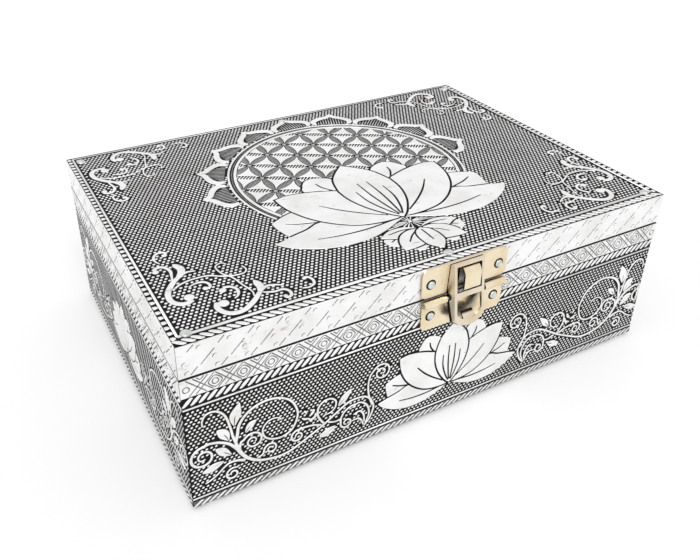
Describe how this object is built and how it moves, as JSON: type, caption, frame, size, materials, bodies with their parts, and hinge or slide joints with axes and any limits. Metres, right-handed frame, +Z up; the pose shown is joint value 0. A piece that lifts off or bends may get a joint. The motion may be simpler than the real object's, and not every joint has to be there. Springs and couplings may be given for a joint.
{
  "type": "hinged keepsake box",
  "caption": "Low rectangular keepsake box of wood clad in embossed metal sheet, with a flat lid hinged at the back, a sprung brass catch in front and a velvet lining.",
  "frame": {"origin": "middle of the whole outline in plan, catch and hinges included, on the surface it stands on", "axes": "+X along the front to the right, +Y to the back, +Z up"},
  "size_m": [0.21, 0.1596, 0.0727],
  "materials": {
    "embossed_sheet": "embossed white metal, bright on the relief and blackened in the ground",
    "wood": "stained softwood",
    "velvet": "short pile velvet",
    "felt": "glued felt",
    "foot_metal": "satin",
    "brass": "pale brass plate, bright",
    "steel": "zinc bright"
  },
  "bodies": {
    "base": {"base_back_panel": "wood", "base_back_sheet": "embossed_sheet", "base_felt": "felt", "base_floor_panel": "wood", "base_front_panel": "wood", "base_front_sheet": "embossed_sheet", "base_left_panel": "wood", "base_left_sheet": "embossed_sheet", "base_right_panel": "wood", "base_right_sheet": "embossed_sheet", "clasp_base_nails": "steel", "clasp_base_plate": "brass", "clasp_pin": "steel", "foot_back_left": "foot_metal", "foot_back_right": "foot_metal", "foot_front_left": "foot_metal", "foot_front_right": "foot_metal", "hinge_base_nails": "steel", "hinge_left_base_leaf": "brass", "hinge_left_pin": "steel", "hinge_right_base_leaf": "brass", "hinge_right_pin": "steel", "lining_back": "velvet", "lining_floor": "velvet", "lining_front": "velvet", "lining_left": "velvet", "lining_right": "velvet"},
    "lid": {"clasp_lid_nails": "steel", "clasp_lid_plate": "brass", "hinge_left_lid_leaf": "brass", "hinge_lid_nails": "steel", "hinge_right_lid_leaf": "brass", "lid_back_rail": "wood", "lid_back_sheet": "embossed_sheet", "lid_front_rail": "wood", "lid_front_sheet": "embossed_sheet", "lid_left_rail": "wood", "lid_left_sheet": "embossed_sheet", "lid_lining_back": "velvet", "lid_lining_front": "velvet", "lid_lining_left": "velvet", "lid_lining_right": "velvet", "lid_lining_top": "velvet", "lid_right_rail": "wood", "lid_right_sheet": "embossed_sheet", "lid_sheet_nails": "steel", "lid_top_panel": "wood", "lid_top_sheet": "embossed_sheet"},
    "lever": {"clasp_lever": "brass"}
  },
  "joints": [
    {"name": "lid_hinge", "type": "hinge", "parent": "base", "child": "lid", "pos_m": [0, 0.07815, 0.0593], "axis": [-1, 0, 0], "range_deg": [0, 180]},
    {"name": "lever_pivot", "type": "hinge", "parent": "base", "child": "lever", "pos_m": [0.0036, -0.07525, 0.05765], "axis": [1, 0, 0], "range_deg": [0, 16], "stiffness_Nm_per_rad": 0.06, "springref_deg": -20.05}
  ]
}
